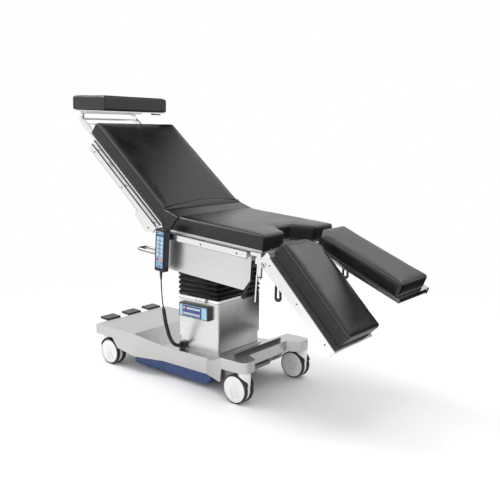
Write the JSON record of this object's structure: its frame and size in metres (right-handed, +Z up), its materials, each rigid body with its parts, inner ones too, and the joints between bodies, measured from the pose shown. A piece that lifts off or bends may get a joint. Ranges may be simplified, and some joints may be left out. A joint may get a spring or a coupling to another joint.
{
  "type": "operating table",
  "caption": "Mobile operating table: castored base, telescopic column with bellows, padded seat, back, head and split leg sections, side rails and a corded handset.",
  "frame": {"origin": "on the floor, under the middle of the table's length and on its middle plane", "axes": "+Z up, +X towards the foot end, -Y towards the side with the handset"},
  "size_m": [1.6659, 0.605, 1.276],
  "materials": {
    "brushed_steel": "brushed",
    "bright_steel": "satin",
    "frame_steel": "satin",
    "blue_box": "semi-gloss",
    "pad_vinyl": "satin",
    "black_rubber": "satin",
    "black_plastic": "satin",
    "panel_body": "satin",
    "panel_face": "satin",
    "castor_white": "satin",
    "castor_tyre": "satin",
    "cord_black": "satin"
  },
  "bodies": {
    "base": {"base_cover": "brushed_steel", "chassis_frame": "frame_steel", "battery_box": "blue_box", "column_plinth": "frame_steel", "column_lower_cover": "brushed_steel", "column_upper_cover": "brushed_steel", "column_trim": "bright_steel", "control_panel": "panel_body", "control_keypad": "panel_face", "lift_outer_tube": "frame_steel", "bellows": "black_rubber", "cord_coil": "cord_black"},
    "lift_middle": {"lift_middle_tube": "frame_steel"},
    "lift_head": {"lift_inner_tube": "frame_steel"},
    "tilt_cross": {"tilt_cross": "frame_steel"},
    "table": {"seat_frame": "bright_steel", "seat_plate": "brushed_steel", "seat_pad": "pad_vinyl", "side_skirt_near": "brushed_steel", "side_skirt_far": "brushed_steel", "seat_rail_near": "bright_steel", "seat_rail_far": "bright_steel", "loop_handle": "bright_steel", "handset_case": "black_plastic", "handset_keypad": "panel_face", "cord_lead": "cord_black"},
    "ball_lever": {"ball_lever": "black_plastic"},
    "back": {"back_frame": "bright_steel", "back_plate": "brushed_steel", "back_pad": "pad_vinyl", "back_rail_near": "bright_steel", "back_rail_far": "bright_steel"},
    "bar_knob_near": {"bar_knob_near": "black_plastic"},
    "bar_knob_far": {"bar_knob_far": "black_plastic"},
    "head_bars": {"head_bars": "bright_steel"},
    "head_links": {"head_links": "bright_steel"},
    "head": {"head_plate": "brushed_steel", "head_pad": "pad_vinyl"},
    "head_lever": {"head_lever": "black_plastic"},
    "castor_near_head": {"castor_fork_near_head": "castor_white"},
    "wheels_near_head": {"castor_wheels_near_head": "castor_tyre"},
    "castor_far_head": {"castor_fork_far_head": "castor_white"},
    "wheels_far_head": {"castor_wheels_far_head": "castor_tyre"},
    "castor_near_foot": {"castor_fork_near_foot": "castor_white"},
    "wheels_near_foot": {"castor_wheels_near_foot": "castor_tyre"},
    "castor_far_foot": {"castor_fork_far_foot": "castor_white"},
    "wheels_far_foot": {"castor_wheels_far_foot": "castor_tyre"},
    "pedal_near": {"pedal_near": "black_rubber"},
    "pedal_middle": {"pedal_middle": "black_rubber"},
    "pedal_far": {"pedal_far": "black_rubber"},
    "leg_knuckle_near": {"leg_knuckle_near": "bright_steel"},
    "leg_near": {"leg_frame_near": "bright_steel", "leg_pad_near": "pad_vinyl"},
    "clamp_lever_near": {"clamp_lever_near": "bright_steel"},
    "release_loop_near": {"release_loop_near": "black_rubber"},
    "leg_knuckle_far": {"leg_knuckle_far": "bright_steel"},
    "leg_far": {"leg_frame_far": "bright_steel", "leg_pad_far": "pad_vinyl"},
    "clamp_lever_far": {"clamp_lever_far": "bright_steel"},
    "release_loop_far": {"release_loop_far": "black_rubber"}
  },
  "joints": [
    {"name": "swivel_near_head", "type": "hinge", "parent": "base", "child": "castor_near_head", "pos_m": [-0.615, -0.201, 0.1], "axis": [0, 0, 1], "continuous": true},
    {"name": "roll_near_head", "type": "hinge", "parent": "castor_near_head", "child": "wheels_near_head", "pos_m": [-0.583, -0.201, 0.0625], "axis": [0, 1, 0], "continuous": true},
    {"name": "swivel_far_head", "type": "hinge", "parent": "base", "child": "castor_far_head", "pos_m": [-0.615, 0.201, 0.1], "axis": [0, 0, 1], "continuous": true},
    {"name": "roll_far_head", "type": "hinge", "parent": "castor_far_head", "child": "wheels_far_head", "pos_m": [-0.583, 0.201, 0.0625], "axis": [0, 1, 0], "continuous": true},
    {"name": "swivel_near_foot", "type": "hinge", "parent": "base", "child": "castor_near_foot", "pos_m": [0.246, -0.201, 0.1], "axis": [0, 0, 1], "continuous": true},
    {"name": "roll_near_foot", "type": "hinge", "parent": "castor_near_foot", "child": "wheels_near_foot", "pos_m": [0.214, -0.201, 0.0625], "axis": [0, 1, 0], "continuous": true},
    {"name": "swivel_far_foot", "type": "hinge", "parent": "base", "child": "castor_far_foot", "pos_m": [0.246, 0.201, 0.1], "axis": [0, 0, 1], "continuous": true},
    {"name": "roll_far_foot", "type": "hinge", "parent": "castor_far_foot", "child": "wheels_far_foot", "pos_m": [0.214, 0.201, 0.0625], "axis": [0, 1, 0], "continuous": true},
    {"name": "pedal_press_near", "type": "hinge", "parent": "base", "child": "pedal_near", "pos_m": [-0.664, -0.107, 0.16], "axis": [0, -1, 0], "range_deg": [0, 8], "stiffness_Nm_per_rad": 20, "springref_deg": -8.59},
    {"name": "pedal_press_middle", "type": "hinge", "parent": "base", "child": "pedal_middle", "pos_m": [-0.664, 0.029, 0.16], "axis": [0, -1, 0], "range_deg": [0, 8], "stiffness_Nm_per_rad": 20, "springref_deg": -8.59},
    {"name": "pedal_press_far", "type": "hinge", "parent": "base", "child": "pedal_far", "pos_m": [-0.664, 0.165, 0.16], "axis": [0, -1, 0], "range_deg": [0, 8], "stiffness_Nm_per_rad": 20, "springref_deg": -8.59},
    {"name": "column_lift", "type": "slide", "parent": "base", "child": "lift_head", "axis": [0, 0, 1], "range_m": [0, 0.3], "deforming": ["bellows", "cord_coil"]},
    {"name": "lift_middle_slide", "type": "slide", "parent": "base", "child": "lift_middle", "axis": [0, 0, 1], "range_m": [0, 0.15]},
    {"name": "trend_tilt", "type": "hinge", "parent": "lift_head", "child": "tilt_cross", "pos_m": [-0.0675, 0, 0.59], "axis": [0, 1, 0], "range_deg": [-29, 21]},
    {"name": "side_tilt", "type": "hinge", "parent": "tilt_cross", "child": "table", "pos_m": [-0.0675, 0, 0.59], "axis": [0.9968, 0, -0.0802], "range_deg": [-18, 18]},
    {"name": "back_tilt", "type": "hinge", "parent": "table", "child": "back", "pos_m": [-0.1625, 0, 0.679], "axis": [0, -1, 0], "range_deg": [-34.5, 55]},
    {"name": "head_slide", "type": "slide", "parent": "back", "child": "head_bars", "axis": [-0.7672, 0, 0.6414], "range_m": [-0.02, 0.06]},
    {"name": "head_low_tilt", "type": "hinge", "parent": "head_bars", "child": "head_links", "pos_m": [-0.80418, 0, 1.17121], "axis": [0, -1, 0], "range_deg": [0, 30]},
    {"name": "head_high_tilt", "type": "hinge", "parent": "head_links", "child": "head", "pos_m": [-0.812, 0, 1.204], "axis": [0, -1, 0], "range_deg": [-4, 30]},
    {"name": "head_lever_turn", "type": "hinge", "parent": "head", "child": "head_lever", "pos_m": [-0.67485, 0.1735, 1.20428], "axis": [0.0454, 0, 0.999], "range_deg": [0, 35]},
    {"name": "bar_knob_turn_near", "type": "hinge", "parent": "back", "child": "bar_knob_near", "pos_m": [-0.5615, -0.205, 0.96569], "axis": [0, 1, 0], "continuous": true},
    {"name": "leg_spread_near", "type": "hinge", "parent": "table", "child": "leg_knuckle_near", "pos_m": [0.37535, -0.262, 0.60563], "axis": [-0.0802, 0, -0.9968], "range_deg": [0, 45]},
    {"name": "leg_pitch_near", "type": "hinge", "parent": "leg_knuckle_near", "child": "leg_near", "pos_m": [0.41224, -0.28, 0.6152], "axis": [0, -1, 0], "range_deg": [-48.5, 46.5]},
    {"name": "clamp_turn_near", "type": "hinge", "parent": "table", "child": "clamp_lever_near", "pos_m": [0.37238, -0.262, 0.56875], "axis": [-0.0802, 0, -0.9968], "range_deg": [-30, 30]},
    {"name": "release_pull_near", "type": "hinge", "parent": "leg_near", "child": "release_loop_near", "pos_m": [0.44302, -0.236, 0.59764], "axis": [0, -1, 0], "range_deg": [-12, 15]},
    {"name": "bar_knob_turn_far", "type": "hinge", "parent": "back", "child": "bar_knob_far", "pos_m": [-0.5615, 0.205, 0.96569], "axis": [0, 1, 0], "continuous": true},
    {"name": "leg_spread_far", "type": "hinge", "parent": "table", "child": "leg_knuckle_far", "pos_m": [0.37535, 0.262, 0.60563], "axis": [0.0802, 0, 0.9968], "range_deg": [0, 45]},
    {"name": "leg_pitch_far", "type": "hinge", "parent": "leg_knuckle_far", "child": "leg_far", "pos_m": [0.41224, 0.28, 0.6152], "axis": [0, -1, 0], "range_deg": [-71.7, 23.3]},
    {"name": "clamp_turn_far", "type": "hinge", "parent": "table", "child": "clamp_lever_far", "pos_m": [0.37238, 0.262, 0.56875], "axis": [0.0802, 0, 0.9968], "range_deg": [-30, 30]},
    {"name": "release_pull_far", "type": "hinge", "parent": "leg_far", "child": "release_loop_far", "pos_m": [0.44745, 0.236, 0.61118], "axis": [0, -1, 0], "range_deg": [-12, 15]},
    {"name": "ball_lever_turn", "type": "hinge", "parent": "table", "child": "ball_lever", "pos_m": [0.32818, -0.252, 0.60541], "axis": [0, -1, 0], "range_deg": [-15, 12]}
  ],
  "couplings": [
    {"joint": "lift_middle_slide", "follows": "column_lift", "ratio": 0.5}
  ]
}
